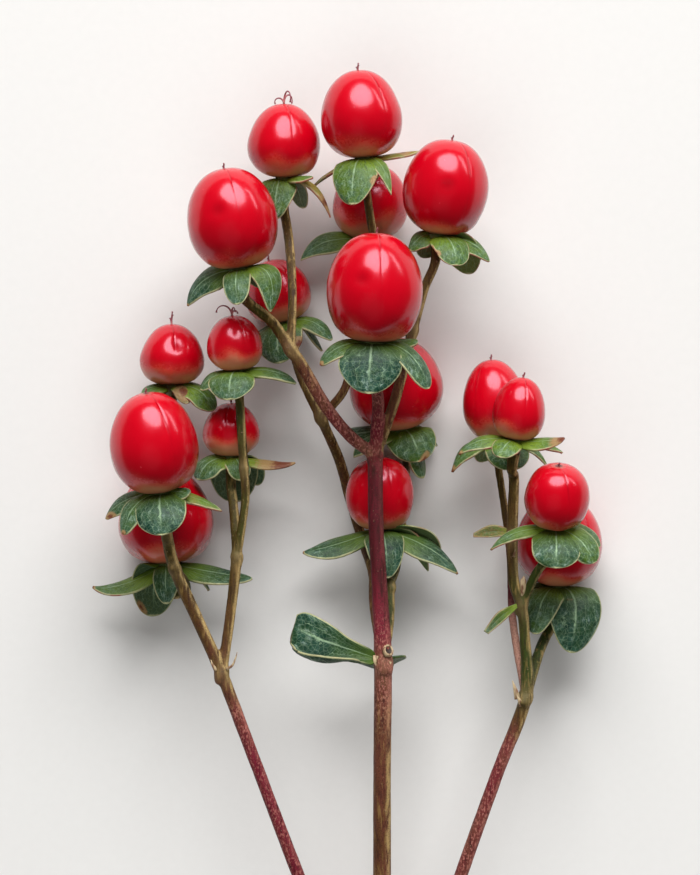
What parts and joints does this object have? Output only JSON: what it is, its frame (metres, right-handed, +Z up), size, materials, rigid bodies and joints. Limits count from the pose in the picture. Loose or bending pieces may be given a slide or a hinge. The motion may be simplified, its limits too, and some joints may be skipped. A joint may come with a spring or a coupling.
{
  "type": "hypericum berry stem",
  "caption": "Cut branching hypericum stem lying on its back, glossy red egg-shaped berries over leafy green sepals on forked woody stalks.",
  "frame": {"origin": "on the surface it lies on, below the middle of the stem's bounding box", "axes": "+Z up; +Y along the main stem from its cut end toward the berries; +X to the right of someone who looks down with the berries away from them"},
  "size_m": [0.0723, 0.1718, 0.0286],
  "materials": {
    "stem_bark": "smooth young bark, red-brown to olive, faintly ribbed and speckled",
    "berry_skin": null,
    "sepal": null,
    "leaf": null
  },
  "bodies": {
    "root": {"branched_stem": "stem_bark", "berry_left_front": "berry_skin", "berry_left_top": "berry_skin", "berry_left_inner": "berry_skin", "berry_left_back": "berry_skin", "berry_left_low": "berry_skin", "berry_crown_left": "berry_skin", "berry_crown_mid": "berry_skin", "berry_crown_top": "berry_skin", "berry_crown_back": "berry_skin", "berry_crown_right": "berry_skin", "berry_crown_front": "berry_skin", "berry_inner_back": "berry_skin", "berry_low_back": "berry_skin", "berry_low_mid": "berry_skin", "berry_right_back": "berry_skin", "berry_right_top": "berry_skin", "berry_right_front": "berry_skin", "berry_right_low": "berry_skin", "calyx_left_front": "sepal", "calyx_left_top": "sepal", "calyx_left_inner": "sepal", "calyx_left_back": "sepal", "calyx_left_low": "sepal", "calyx_crown_left": "sepal", "calyx_crown_mid": "sepal", "calyx_crown_top": "sepal", "calyx_crown_back": "sepal", "calyx_crown_right": "sepal", "calyx_crown_front": "sepal", "calyx_inner_back": "sepal", "calyx_low_back": "sepal", "calyx_low_mid": "sepal", "calyx_right_back": "sepal", "calyx_right_top": "sepal", "calyx_right_front": "sepal", "calyx_right_low": "sepal", "leaf_main_left": "leaf", "leaf_main_right": "leaf", "leaf_right_upper": "leaf", "leaf_right_middle": "leaf"}
  },
  "joints": []
}
